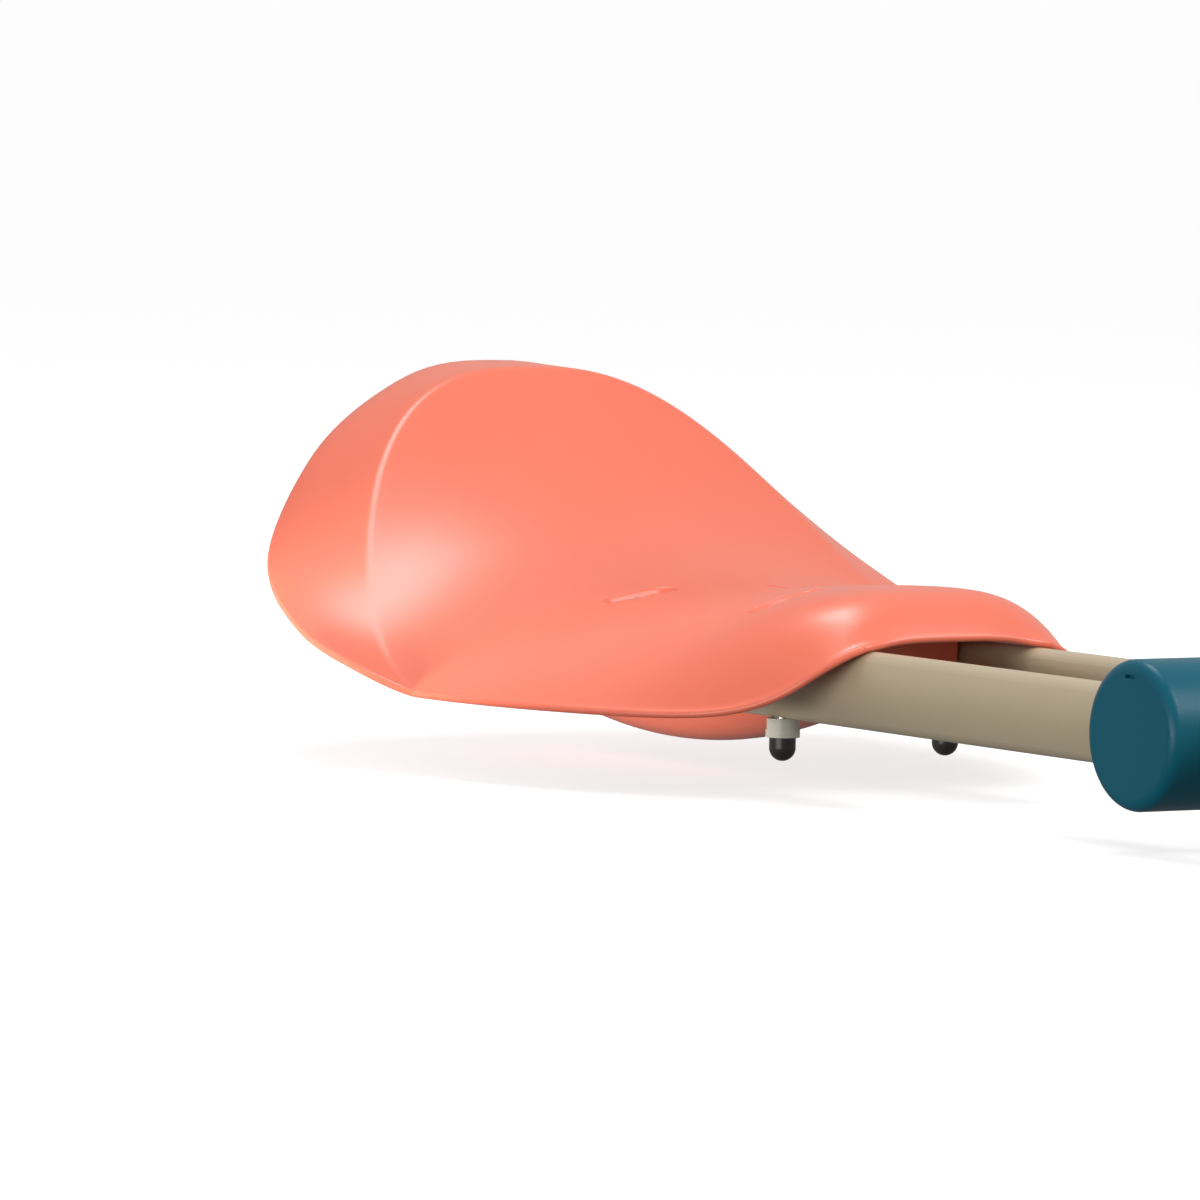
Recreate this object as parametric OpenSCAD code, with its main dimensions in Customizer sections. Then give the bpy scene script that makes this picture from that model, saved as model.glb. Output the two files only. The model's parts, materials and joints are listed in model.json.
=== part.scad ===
// Scoop stretcher with a moulded head scoop.
// +X points to the head end, +Y to the right-hand half, +Z up.
// The origin is on the floor, under the middle of the stretcher.

/* [Whole stretcher] */
// Length over everything with the leg sections pushed in
length = 1880; // [1840:10:1900]
// Distance between the centre lines of the side rails
rail_spacing = 412; // [388:12:424]
// Height of every tube's centre line above the floor
tube_z = 50; // [48:1:60]

/* [Oval tube] */
// Height of the oval tube
tube_h = 35; // [34:0.5:36]
// Width of the oval tube
tube_w = 22; // [20:0.5:23]
// Wall of the oval tube
tube_wall = 2.5; // [2:0.25:3]
// Gap between a leg tube and the rail that it slides in
slide_gap = 0.2; // [0.15:0.05:0.3]

/* [Hub] */
// Distance between the twin tubes' centre lines
twin_spacing = 88; // [86:1:92]
// Outer diameter of the cross hub
hub_d = 64; // [63:1:66]
// Length of the cross hub
hub_len = 146; // [140:1:148]
// Diameter of the pivot pins in the hub
pin_d = 10; // [9:0.5:10]
// Distance from the hub to the first scoop bolts
hub_to_bolts = 307; // [300:1:315]

/* [Head scoop] */
// Thickness of the moulded pan
pan_t = 4; // [3.5:0.25:4.5]
// Half width of the pan at its widest
pan_half_w = 158; // [150:1:165]
// Height of the raised end over the tubes' underside
pan_rise = 144; // [130:1:150]
// Length of the pan from the first bolts to its crease
pan_len = 294; // [285:1:300]
// Width of the turned-out flange at the raised end
flange_w = 40; // [30:1:42]
// Distance between the two rows of scoop bolts
bolt_rows = 121; // [115:1:125]

/* [Body panels] */
// Thickness of the body panels
panel_t = 4; // [3.5:0.25:4.5]
// Height of the panels' low inner edge
edge_z = 15; // [14:0.5:18]
// Gap between the right and left halves
half_gap = 10; // [8:1:14]

/* [Travel] */
// How far each leg section pulls out
leg_travel = 130; // [100:5:130]

/* [Hidden] */
$fn = 64;

// Colours
coral = [0.98, 0.54, 0.45];
beige = [0.75, 0.69, 0.56];
teal = [0.10, 0.36, 0.44];
metal = [0.70, 0.71, 0.72];
bronze = [0.66, 0.50, 0.28];
dark = [0.13, 0.12, 0.11];

// Stations along the stretcher
tip_x = length / 2;
foot_x = -length / 2;
bolt_x = tip_x - pan_len - flange_w;
hub_x = bolt_x - hub_to_bolts;
twin_y = twin_spacing / 2;
rail_y = rail_spacing / 2;
rise_y = rail_y - twin_y;
// The shoulders slope out 3 in 4
run_x = rise_y * 4 / 3;
tube_low = tube_z - tube_h / 2;
pivot_x = hub_x - 80;
bend_start_x = hub_x - 135;
bend_end_x = bend_start_x - run_x;

rail_end_x = -560;
bend_r = 60;
corner_r = 60;

// Oval cross-section, drawn with its height along Y: two end arcs and two side arcs that meet smoothly
module oval(w, h) {
    end_r = 0.77 * w / 2;
    end_c = h / 2 - end_r;
    side_d = (end_c * end_c - pow(w / 2 - end_r, 2)) / (2 * (w / 2 - end_r));
    side_r = side_d + w / 2;
    meet_y = end_c * side_r / sqrt(side_d * side_d + end_c * end_c);
    intersection() {
        translate([side_d, 0]) circle(r = side_r, $fn = 128);
        translate([-side_d, 0]) circle(r = side_r, $fn = 128);
        square([w + 1, 2 * meet_y], center = true);
    }
    for (s = [-1, 1]) {
        translate([0, s * end_c]) circle(r = end_r);
    }
}

// The same outline as short straight facets, for openings in curved walls
facets = 8;
module oval_facets(w, h) {
    end_r = 0.77 * w / 2;
    end_c = h / 2 - end_r;
    side_d = (end_c * end_c - pow(w / 2 - end_r, 2)) / (2 * (w / 2 - end_r));
    side_r = side_d + w / 2;
    meet = atan2(end_c, side_d);
    half = concat(
        [for (k = [0:facets - 1]) let (a = meet * (2 * k / facets - 1))
            [side_r * cos(a) - side_d, side_r * sin(a)]],
        [for (k = [0:facets - 1]) let (a = meet + (180 - 2 * meet) * k / facets)
            [end_r * cos(a), end_c + end_r * sin(a)]]);
    polygon(concat(half, [for (p = half) -p]));
}

bore_w = tube_w - 2 * tube_wall;
bore_h = tube_h - 2 * tube_wall;

// Straight oval bar along +X from x0 to x1 at height tube_z
module bar_x(x0, x1, y, w, h) {
    translate([x0, y, tube_z]) rotate([90, 0, 90]) linear_extrude(x1 - x0) oval(w, h);
}

// ---- Head scoop ----------------------------------------------------------
// The scoop's own frame has X from the first bolt row, Z from the tubes' underside.
lip_x = -71;
corner_x = 129;
lip_half_w = 57;
edge_h = 6;
side_n = 12;
end_n = 16;
across = 8;
strips = 3;
stations = side_n + end_n;

function smooth(a, b, t) = a + (b - a) * pow(t, 2) * (3 - 2 * t);
function clamp01(t) = min(1, max(0, t));

// Half outline of the pan: the near-straight side, then the crease of the raised end
function side_t(i) = i / side_n;
function end_a(i) = 88 * (i - side_n) / end_n;
function outline(i) = i <= side_n
    ? [lip_x + (corner_x - lip_x) * side_t(i),
       lip_half_w + (pan_half_w - lip_half_w) * pow(sin(90 * side_t(i)), 0.7),
       edge_h + 32 * pow(1 - side_t(i), 12)]
    : [corner_x + (pan_len - corner_x) * pow(sin(end_a(i)), 1.3),
       pan_half_w * pow(cos(end_a(i)), 0.73),
       edge_h + (pan_rise - edge_h) * pow(sin(end_a(i)), 2.2)];

// Height of the pan's middle line: the neck's brow, the seat, then the raised end
neck_h = 60;
seat_h = 51;
function middle_h(x) = x < -30
    ? neck_h - 19 * pow((-30 - x) / 41, 3)
    : x < 110
        ? smooth(neck_h, seat_h, (x + 30) / 140)
        : seat_h + (pan_rise - seat_h) * pow((x - 110) / (pan_len - 110), 2.2);

// Power of the cross-section: the neck is flat-topped, the pan a plain curve
function section_power(x) = smooth(3.3, 2, clamp01((x + 40) / 60));

// Outward direction of the flange in plan, turning from sideways to straight ahead
function flange_dir(i) = i <= side_n
    ? 90
    : 90 - 90 * pow((i - side_n) / end_n, 1.3);

// Reach and fall of the flange every 15 degrees round the raised end, joined by a smooth curve
flange_reach = [2, 20, 37, 48, 41, 36, flange_w];
flange_fall = [0.5, -3, 5, 13, 7, 4, -2];
last_knot = len(flange_reach) - 1;
function knot(v, k) = v[k < 0 ? -k : k > last_knot ? 2 * last_knot - k : k];
function eased(v, t) =
    let (k = min(floor(t), last_knot - 1), f = t - k, a = v[k], b = v[k + 1],
        leave = k == 0 ? 0 : (b - knot(v, k - 1)) / 2,
        arrive = (knot(v, k + 2) - a) / 2)
    a * (1 + 2 * f) * pow(1 - f, 2) + leave * f * pow(1 - f, 2)
        + b * f * f * (3 - 2 * f) + arrive * f * f * (f - 1);
function flange_out(i) = eased(flange_reach, max(0, end_a(i)) / 15);
function flange_drop(i) = eased(flange_fall, max(0, end_a(i)) / 15);

function pan_point(i, j) =
    let (o = outline(i), v = j / across, m = middle_h(o[0]))
    [o[0], o[1] * v, m + (o[2] - m) * pow(abs(v), section_power(o[0]))];
function flange_point(i, side, s) =
    let (o = outline(i), a = flange_dir(i), d = flange_out(i) * s)
    [o[0] + d * cos(a), side * (o[1] + d * sin(a)), o[2] - flange_drop(i) * s];
function tip_point(k, j) =
    let (p = pan_point(stations, j))
    [p[0] + flange_out(stations) * k / strips, p[1], p[2] - flange_drop(stations) * k / strips];

row_n = 2 * (across + strips) + 1;
tip_row_n = 2 * across + 1;
sheet_n = row_n * (stations + 1) + tip_row_n * strips;

// Pads under the pan that back up its screw slots
row_x = [0, bolt_rows];
pad_t = 4.5;
function pad(x, y) = pad_t * max([for (r = row_x)
    exp(-pow((x - r) / 22, 2) - pow((abs(y) - twin_y) / 24, 2))]);

function sheet(under) = [
    for (i = [0:stations], j = [-(across + strips):across + strips])
        let (p = abs(j) <= across
            ? pan_point(i, j)
            : flange_point(i, sign(j), (abs(j) - across) / strips))
        [p[0], p[1], p[2] - under * (pan_t + pad(p[0], p[1]))],
    for (k = [1:strips], j = [-across:across])
        let (p = tip_point(k, j))
        [p[0], p[1], p[2] - under * pan_t]];

// Index of a sheet point; the tip rows share the flange's last column
function at(i, j) = i <= stations
    ? i * row_n + j + across + strips
    : abs(j) == across
        ? at(stations, sign(j) * (across + i - stations))
        : row_n * (stations + 1) + (i - stations - 1) * tip_row_n + j + across;

cells = [
    for (i = [0:stations - 1], j = [-(across + strips):across + strips - 1]) [i, j],
    for (i = [stations:stations + strips - 1], j = [-across:across - 1]) [i, j]];
rim = [
    for (i = [0:stations]) at(i, -(across + strips)),
    for (j = [-across + 1:across - 1]) at(stations + strips, j),
    for (i = [stations:-1:0]) at(i, across + strips),
    for (j = [across + strips - 1:-1:-(across + strips) + 1]) at(0, j)];

module pan_solid() {
    top = [for (c = cells, h = [0, 1])
        h == 0
            ? [at(c[0], c[1]), at(c[0], c[1] + 1), at(c[0] + 1, c[1] + 1)]
            : [at(c[0], c[1]), at(c[0] + 1, c[1] + 1), at(c[0] + 1, c[1])]];
    bottom = [for (f = top) [f[2] + sheet_n, f[1] + sheet_n, f[0] + sheet_n]];
    n = len(rim);
    wall = [for (k = [0:n - 1], h = [0, 1])
        h == 0
            ? [rim[k], rim[(k + 1) % n], rim[(k + 1) % n] + sheet_n]
            : [rim[k], rim[(k + 1) % n] + sheet_n, rim[k] + sheet_n]];
    polyhedron(points = concat(sheet(0), sheet(1)), faces = concat(top, bottom, wall), convexity = 6);
}

// Slots that the scoop's screws sit in: across the pan, following its slope
slot_len = 36;
slot_w = 13;
slot_depth = 3.6;
screw_d = 8;
hole_d = screw_d + 0.6;
slot_h = [53.6, 47.7];
slot_tilt = [15, 9];
head_seat_h = [49.1, 43.5];

module scoop_place() {
    translate([bolt_x, 0, tube_low]) children();
}

module slot_cut(row, side) {
    translate([row_x[row], side * twin_y, slot_h[row] - slot_depth])
        rotate([-side * slot_tilt[row], 0, 0])
            linear_extrude(14)
                union() {
                    square([slot_w, slot_len - slot_w], center = true);
                    for (e = [-1, 1]) {
                        translate([0, e * (slot_len - slot_w) / 2]) circle(d = slot_w);
                    }
                }
}

module head_scoop() {
    color(coral) scoop_place() difference() {
        pan_solid();
        for (row = [0, 1], side = [-1, 1]) {
            slot_cut(row, side);
            translate([row_x[row], side * twin_y, 30]) cylinder(d = hole_d, h = 40);
            translate([row_x[row], side * twin_y, head_seat_h[row]]) cylinder(d = 14, h = 14);
        }
    }
}

// Moulded keel that fills the space between the twin tubes and bellies out below them
keel_r = 400;
keel_x = 150;
keel_low = -22;
keel_round = 26;
keel_half_w = twin_y - tube_w / 2 - 0.3;

module scoop_keel() {
    color(coral) scoop_place() difference() {
        union() {
            intersection() {
                translate([keel_x, 0, keel_low + keel_r])
                    rotate([90, 0, 0])
                        rotate_extrude($fn = 256)
                            translate([keel_r - keel_round, 0]) circle(r = keel_round);
                translate([0, 0, keel_low - 1])
                    linear_extrude(38 - keel_low)
                        rounded_plan(30, 240, -keel_round, keel_round, keel_round - 1);
            }
            translate([-25, -keel_half_w, 8]) cube([235, 2 * keel_half_w, 32]);
        }
        translate([70, -keel_round + 6, 2]) cube([130, 2 * keel_round - 12, 60]);
        translate([-19, -keel_half_w + 6, 14]) cube([223, 2 * keel_half_w - 12, 60]);
    }
}

spacer_d = 16;
spacer_h = [7.4, 2.6];
module scoop_spacers() {
    color(dark) scoop_place()
        for (row = [0, 1], side = [-1, 1]) {
            translate([row_x[row], side * twin_y, tube_h])
                difference() {
                    cylinder(d = spacer_d, h = spacer_h[row]);
                    translate([0, 0, -1]) cylinder(d = hole_d, h = 20);
                }
        }
}

screw_head_d = 13;
screw_head_h = 4;
scoop_head_h = 2.6;
module scoop_screws() {
    color(metal) scoop_place()
        for (row = [0, 1], side = [-1, 1]) {
            foot = row == 0 ? -13.5 : tube_h - 14;
            translate([row_x[row], side * twin_y, foot]) cylinder(d = screw_d, h = head_seat_h[row] - foot);
            translate([row_x[row], side * twin_y, head_seat_h[row]])
                difference() {
                    rotate_extrude()
                        intersection() {
                            translate([0, scoop_head_h - 10.4]) circle(r = 10.4);
                            square([screw_head_d / 2, scoop_head_h]);
                        }
                    translate([0, 0, 1]) cylinder(d = 5, h = 5, $fn = 6);
                }
        }
}

sleeve_d = 14.5;
sleeve_h = 8.5;
collar_d = 15.5;
collar_h = 3.5;
module sleeve(h = sleeve_h) {
    difference() {
        union() {
            translate([0, 0, -h]) cylinder(d = sleeve_d, h = h);
            translate([0, 0, -h]) cylinder(d = collar_d, h = collar_h);
        }
        translate([0, 0, -h - 1]) cylinder(d = hole_d, h = h + 2);
    }
}

nut_d = 12;
nut_skirt = 4.8;
module cap_nut() {
    difference() {
        union() {
            translate([0, 0, -nut_skirt]) cylinder(d = nut_d, h = nut_skirt);
            translate([0, 0, -nut_skirt]) sphere(d = nut_d);
        }
        translate([0, 0, -6]) cylinder(d = screw_d, h = 20);
        translate([-10, -10, 0]) cube([20, 20, 20]);
    }
}

module scoop_sleeves() {
    color("gray") scoop_place() for (side = [-1, 1]) {
        translate([0, side * twin_y, 0]) sleeve();
    }
}

module scoop_cap_nuts() {
    color(dark) scoop_place() for (side = [-1, 1]) {
        translate([0, side * twin_y, -sleeve_h]) cap_nut();
    }
}

// Threaded inserts in the tube's top wall for the second row of screws
insert_d = 10.5;
insert_h = 9.8;
module scoop_inserts() {
    color(bronze) scoop_place() for (side = [-1, 1]) {
        translate([bolt_rows, side * twin_y, tube_h - tube_wall - insert_h - 2.7])
            difference() {
                cylinder(d = insert_d, h = insert_h);
                translate([0, 0, -1]) cylinder(d = screw_d, h = 20);
            }
    }
}

// Twin tubes from the hub to the scoop
head_tube_x0 = hub_x + 14;
head_tube_x1 = bolt_x + 146;
module head_tube() {
    difference() {
        bar_x(head_tube_x0, head_tube_x1, twin_y, tube_w, tube_h);
        bar_x(head_tube_x0 - 1, head_tube_x1 + 1, twin_y, bore_w, bore_h);
        translate([bolt_x, twin_y, 0]) cylinder(d = hole_d, h = 100);
        translate([bolt_x + bolt_rows, twin_y, tube_z]) cylinder(d = hole_d, h = 100);
    }
}

module head_tube_right() {
    color(beige) head_tube();
}

module head_tube_left() {
    color(beige) mirror([0, 1, 0]) head_tube();
}

module head_tube_plugs() {
    color(dark) for (side = [-1, 1]) {
        bar_x(head_tube_x1, head_tube_x1 + 3, side * twin_y, tube_w - 1, tube_h - 1);
        bar_x(head_tube_x1 - 12, head_tube_x1, side * twin_y, bore_w - 0.2, bore_h - 0.2);
    }
}

// ---- Hub -----------------------------------------------------------------
hub_r = hub_d / 2;
hub_half = hub_len / 2;
shell_wall = 3.2;
core_r = hub_r - shell_wall;
core_half = hub_half - 8;
hub_round = 5;
shell_seam = 0.3;
socket_x = 14;
grub_d = 6;
grub_x = 18.5;

module along_hub() {
    translate([hub_x, 0, tube_z]) rotate([-90, 0, 0]) children();
}

module hub_shell() {
    difference() {
        along_hub() rotate_extrude($fn = 128) difference() {
            union() {
                translate([0, shell_seam]) square([hub_r, hub_half - hub_round - shell_seam]);
                square([hub_r - hub_round, hub_half]);
                translate([hub_r - hub_round, hub_half - hub_round]) circle(r = hub_round);
            }
            translate([-1, -1]) square([core_r + 1, core_half + 1]);
        }
        translate([hub_x - hub_r - 5, twin_y, tube_z]) rotate([90, 0, 90])
            linear_extrude(2 * hub_r + 10) oval_facets(tube_w + 0.5, tube_h + 0.5);
        for (s = [-1, 1]) {
            translate([hub_x + s * grub_x, twin_y, 0]) cylinder(d = grub_d + 1, h = tube_z - 10);
        }
        translate([hub_x - 3.5, hub_half - 2, tube_z + 24]) cube([7, 5, 1.6]);
    }
}

module hub_shell_right() {
    color(teal) hub_shell();
}

module hub_shell_left() {
    color(teal) mirror([0, 1, 0]) hub_shell();
}

module hub_core() {
    color(metal) difference() {
        along_hub() translate([0, 0, -core_half]) cylinder(r = core_r, h = 2 * core_half, $fn = 128);
        for (side = [-1, 1]) {
            bar_x(hub_x + socket_x, hub_x + 60, side * twin_y, tube_w, tube_h);
            bar_x(hub_x - 60, hub_x - socket_x, side * twin_y, tube_w, tube_h);
            for (s = [-1, 1]) {
                translate([hub_x + s * grub_x, side * twin_y, 0]) cylinder(d = grub_d, h = tube_z - 10);
            }
        }
    }
}

// Grub screws that hold the tubes in the core
module hub_grub_screws() {
    color(metal) for (side = [-1, 1], s = [-1, 1]) {
        translate([hub_x + s * grub_x, side * twin_y, tube_low - 7]) difference() {
            cylinder(d = grub_d, h = 7);
            translate([0, 0, -1]) cylinder(d = 3, h = 4, $fn = 6);
        }
    }
}

// Short stub tubes behind the hub, each with a clevis for its pivot pin
stub_x0 = pivot_x + 20;
module stub_tube() {
    difference() {
        bar_x(stub_x0, hub_x - socket_x, twin_y, tube_w, tube_h);
        bar_x(stub_x0 - 1, hub_x, twin_y, bore_w, bore_h);
    }
}

module stub_tube_right() {
    color(beige) stub_tube();
}

module stub_tube_left() {
    color(beige) mirror([0, 1, 0]) stub_tube();
}

eye_t = 20;
eye_r = 11;
eye_gap = 0.4;
jaw_t = 5;
clevis_h = eye_t + 2 * eye_gap + 2 * jaw_t;
module pivot_clevises() {
    color(metal) for (side = [-1, 1]) {
        difference() {
            union() {
                bar_x(stub_x0, stub_x0 + 32, side * twin_y, bore_w, bore_h);
                translate([pivot_x, side * twin_y, tube_z - clevis_h / 2]) {
                    cylinder(r = eye_r, h = clevis_h);
                    translate([0, -eye_r, 0]) cube([stub_x0 - pivot_x, 2 * eye_r, clevis_h]);
                }
            }
            translate([pivot_x - eye_r - 1, side * twin_y - eye_r - 1, tube_z - eye_t / 2 - eye_gap])
                cube([2 * eye_r + 3, 2 * eye_r + 2, eye_t + 2 * eye_gap]);
            translate([pivot_x, side * twin_y, 0]) cylinder(d = pin_d, h = 100);
        }
    }
}

pin_head_t = 2.5;
module pivot_pins() {
    color(metal) for (side = [-1, 1]) {
        translate([pivot_x, side * twin_y, tube_z - clevis_h / 2 - 2]) cylinder(d = pin_d, h = clevis_h + 2);
        translate([pivot_x, side * twin_y, tube_z + clevis_h / 2]) cylinder(d = pin_d + 6, h = pin_head_t);
    }
}

// ---- Side frames (right-hand half; the left-hand half is its mirror image) -
bend_a = atan2(rise_y, run_x);
bend_cut = bend_r * tan(bend_a / 2);
slope_len = sqrt(rise_y * rise_y + run_x * run_x);
rail_x1 = pivot_x - 17;
eye_shank = 10;

// Tube in three welded stretches: the pivot end with its bend, the slope, and the rail with its bend
module rail_path(w, h, x_end) {
    bar_x(bend_start_x + bend_cut, rail_x1, twin_y, w, h);
    translate([bend_start_x + bend_cut, twin_y + bend_r, tube_z])
        rotate([0, 0, -90])
            rotate_extrude(angle = -bend_a, $fn = 128) translate([bend_r, 0]) oval(w, h);
    translate([bend_start_x, twin_y, tube_z])
        rotate([0, 0, -bend_a])
            translate([-bend_cut, 0, 0])
                rotate([90, 0, -90])
                    linear_extrude(slope_len - 2 * bend_cut) oval(w, h);
    translate([bend_end_x - bend_cut, rail_y - bend_r, tube_z])
        rotate([0, 0, 90])
            rotate_extrude(angle = -bend_a, $fn = 128) translate([bend_r, 0]) oval(w, h);
    bar_x(x_end, bend_end_x - bend_cut, rail_y, w, h);
}

// Bolt stations: on the rail as [x, y], and on the leg section
slope_dir = [-cos(bend_a), sin(bend_a)];
function on_slope(d) = [bend_start_x, twin_y] + d * slope_dir;
rail_bolts = [on_slope(100), on_slope(200), [bend_end_x - 50, rail_y], [bend_end_x - 190, rail_y],
    [bend_end_x - 265, rail_y], [bend_end_x - 300, rail_y]];
leg_bolts = [[-640, rail_y], [-820, rail_y]];

module bolt_holes(places) {
    for (p = places) {
        translate([p[0], p[1], 0]) cylinder(d = hole_d, h = 100);
    }
}

module rail() {
    difference() {
        rail_path(tube_w, tube_h, rail_end_x);
        bar_x(rail_end_x - 1, bend_end_x - bend_cut - 20, rail_y, bore_w, bore_h);
        bar_x(rail_x1 - eye_shank, rail_x1 + 1, twin_y, bore_w, bore_h);
        bolt_holes(rail_bolts);
    }
}

module rail_right() {
    color(beige) rail();
}

module rail_left() {
    color(beige) mirror([0, 1, 0]) rail();
}

// Eye fitting: a shank in the rail's bore and an eye around the pivot pin
bush_r = pin_d / 2 + 2;
module pivot_eye() {
    difference() {
        union() {
            bar_x(rail_x1 - eye_shank, rail_x1, twin_y, bore_w, bore_h);
            translate([pivot_x, twin_y, tube_z - eye_t / 2]) cylinder(r = eye_r, h = eye_t);
            translate([rail_x1, twin_y - bore_w / 2, tube_z - eye_t / 2])
                cube([pivot_x - rail_x1, bore_w, eye_t]);
        }
        translate([pivot_x, twin_y, 0]) cylinder(r = bush_r, h = 100);
    }
}

module pivot_eye_right() {
    color(metal) pivot_eye();
}

module pivot_eye_left() {
    color(metal) mirror([0, 1, 0]) pivot_eye();
}

module pivot_bush() {
    translate([pivot_x, twin_y, tube_z - eye_t / 2]) difference() {
        cylinder(r = bush_r, h = eye_t);
        translate([0, 0, -1]) cylinder(r = pin_d / 2 + 0.05, h = eye_t + 2);
    }
}

module pivot_bush_right() {
    color(bronze) pivot_bush();
}

module pivot_bush_left() {
    color(bronze) mirror([0, 1, 0]) pivot_bush();
}

// ---- Body panels -----------------------------------------------------------
// Blade section: distance d inward from the tube's centre line along +X, height along +Y.
wrap_gap = 0.6;
wrap_steps = 12;
wrap_end_a = 200;
blade_steps = 14;
blade_end = 72;
blade_tip = 200;

function seat_z(h) = tube_z + h / 2 + wrap_gap + panel_t;
function blade_z(top, d) = d < blade_end
    ? smooth(top, edge_z + 3, d / blade_end)
    : edge_z + 3 * (1 - clamp01((d - blade_end) / 60));

// Hook over the tube's outer side, then a smooth fall to the low blade
module blade_section(w, h) {
    blade = concat([for (k = [0:blade_steps]) blade_end * k / blade_steps],
        [blade_end + 30, blade_end + 60, blade_tip]);
    hook = [for (k = [0:wrap_steps]) wrap_end_a + (90 - wrap_end_a) * k / wrap_steps];
    last = len(blade) - 1;
    far = [w / 2 + wrap_gap + panel_t, h / 2 + wrap_gap + panel_t];
    near = [w / 2 + wrap_gap, h / 2 + wrap_gap];
    polygon(concat(
        [for (a = hook) [far[0] * cos(a), tube_z + far[1] * sin(a)]],
        [for (k = [1:last]) [blade[k], blade_z(seat_z(h), blade[k])]],
        [for (k = [last:-1:1]) [blade[k], blade_z(seat_z(h), blade[k]) - panel_t]],
        [for (k = [wrap_steps:-1:0]) [near[0] * cos(hook[k]), tube_z + near[1] * sin(hook[k])]]));
}

// Plan outline with rounded corners
module rounded_plan(x0, x1, y0, y1, r) {
    union() {
        translate([x0 + r, y0]) square([x1 - x0 - 2 * r, y1 - y0]);
        translate([x0, y0 + r]) square([x1 - x0, y1 - y0 - 2 * r]);
        for (x = [x0 + r, x1 - r], y = [y0 + r, y1 - r]) {
            translate([x, y]) circle(r = r);
        }
    }
}

hold_len = 90;
hold_w = 30;
module hand_hold(x) {
    translate([x, rail_y - 110, 0])
        linear_extrude(60)
            rounded_plan(-hold_len / 2, hold_len / 2, -hold_w / 2, hold_w / 2, hold_w / 2 - 0.5);
}

// Panel along a straight rail from x0 to x1
module straight_panel(x0, x1, w, h, places) {
    difference() {
        intersection() {
            translate([x0 - 1, rail_y, 0])
                rotate([90, 0, 90]) linear_extrude(x1 - x0 + 2) mirror([1, 0]) blade_section(w, h);
            linear_extrude(120) rounded_plan(x0, x1, half_gap / 2, rail_y + 60, 22);
        }
        hand_hold((x0 + x1) / 2);
        bolt_holes(places);
    }
}

// Panel along the sloping shoulder tube
shoulder_x0 = bend_end_x + 36;
shoulder_x1 = bend_start_x - 34;
module shoulder_panel() {
    difference() {
        intersection() {
            translate([bend_start_x, twin_y, 0])
                rotate([0, 0, -bend_a])
                    translate([-slope_len, 0, 0])
                        rotate([90, 0, 90]) linear_extrude(slope_len) mirror([1, 0]) blade_section(tube_w, tube_h);
            linear_extrude(120) rounded_plan(shoulder_x0, shoulder_x1, half_gap / 2, rail_y + 60, 22);
        }
        bolt_holes(rail_bolts);
    }
}

module shoulder_panel_right() {
    color(coral) shoulder_panel();
}

module shoulder_panel_left() {
    color(coral) mirror([0, 1, 0]) shoulder_panel();
}

back_x0 = -268;
back_x1 = bend_end_x - 26;
seat_x0 = -516;
seat_x1 = -274;
leg_panel_x0 = -890;
leg_panel_x1 = -612;

module back_panel_right() {
    color(coral) straight_panel(back_x0, back_x1, tube_w, tube_h, rail_bolts);
}

module back_panel_left() {
    color(coral) mirror([0, 1, 0]) straight_panel(back_x0, back_x1, tube_w, tube_h, rail_bolts);
}

module seat_panel_right() {
    color(coral) straight_panel(seat_x0, seat_x1, tube_w, tube_h, rail_bolts);
}

module seat_panel_left() {
    color(coral) mirror([0, 1, 0]) straight_panel(seat_x0, seat_x1, tube_w, tube_h, rail_bolts);
}

// Through bolts with a domed head above and a cap nut below the tube; drop is the sleeve between them
module through_bolt(h, drop) {
    seat = seat_z(h);
    foot = tube_z - h / 2 - drop - 4.5;
    translate([0, 0, foot]) cylinder(d = screw_d, h = seat - foot);
    translate([0, 0, seat]) intersection() {
        translate([0, 0, -7]) sphere(r = 10.5);
        cylinder(d = screw_head_d, h = screw_head_h);
    }
}

module bolts_at(places, h, drop) {
    for (p = places) {
        translate([p[0], p[1], 0]) through_bolt(h, drop);
    }
}

module nuts_at(places, h, drop) {
    for (p = places) {
        translate([p[0], p[1], tube_z - h / 2 - drop]) cap_nut();
    }
}

module sleeves_at(places) {
    for (p = places) {
        translate([p[0], p[1], tube_low]) sleeve();
    }
}

module panel_bolts_right() {
    color(metal) bolts_at(rail_bolts, tube_h, sleeve_h);
}

module panel_bolts_left() {
    color(metal) mirror([0, 1, 0]) bolts_at(rail_bolts, tube_h, sleeve_h);
}

module panel_sleeves_right() {
    color("gray") sleeves_at(rail_bolts);
}

module panel_sleeves_left() {
    color("gray") mirror([0, 1, 0]) sleeves_at(rail_bolts);
}

module panel_cap_nuts_right() {
    color(dark) nuts_at(rail_bolts, tube_h, sleeve_h);
}

module panel_cap_nuts_left() {
    color(dark) mirror([0, 1, 0]) nuts_at(rail_bolts, tube_h, sleeve_h);
}

// Rubber feet: a shaped pad cut to the tube's underside
foot_d = 26;
module foot_at(x, y, h, turn = 0) {
    difference() {
        translate([x, y, 0]) cylinder(d = foot_d, h = tube_z - h / 4);
        translate([x, y, tube_z]) rotate([0, 0, turn]) rotate([90, 0, 90])
            linear_extrude(60, center = true) oval(h == tube_h ? tube_w : leg_w, h);
    }
}

rail_foot_places = [on_slope(48), [bend_end_x - 120, rail_y], [-480, rail_y]];
module rail_feet() {
    for (p = rail_foot_places) {
        foot_at(p[0], p[1], tube_h, p[1] < rail_y - 1 ? -bend_a : 0);
    }
}

module rail_feet_right() {
    color(dark) rail_feet();
}

module rail_feet_left() {
    color(dark) mirror([0, 1, 0]) rail_feet();
}

// ---- Telescoping leg sections ------------------------------------------------
leg_w = bore_w - 2 * slide_gap;
leg_h = bore_h - 2 * slide_gap;
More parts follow.
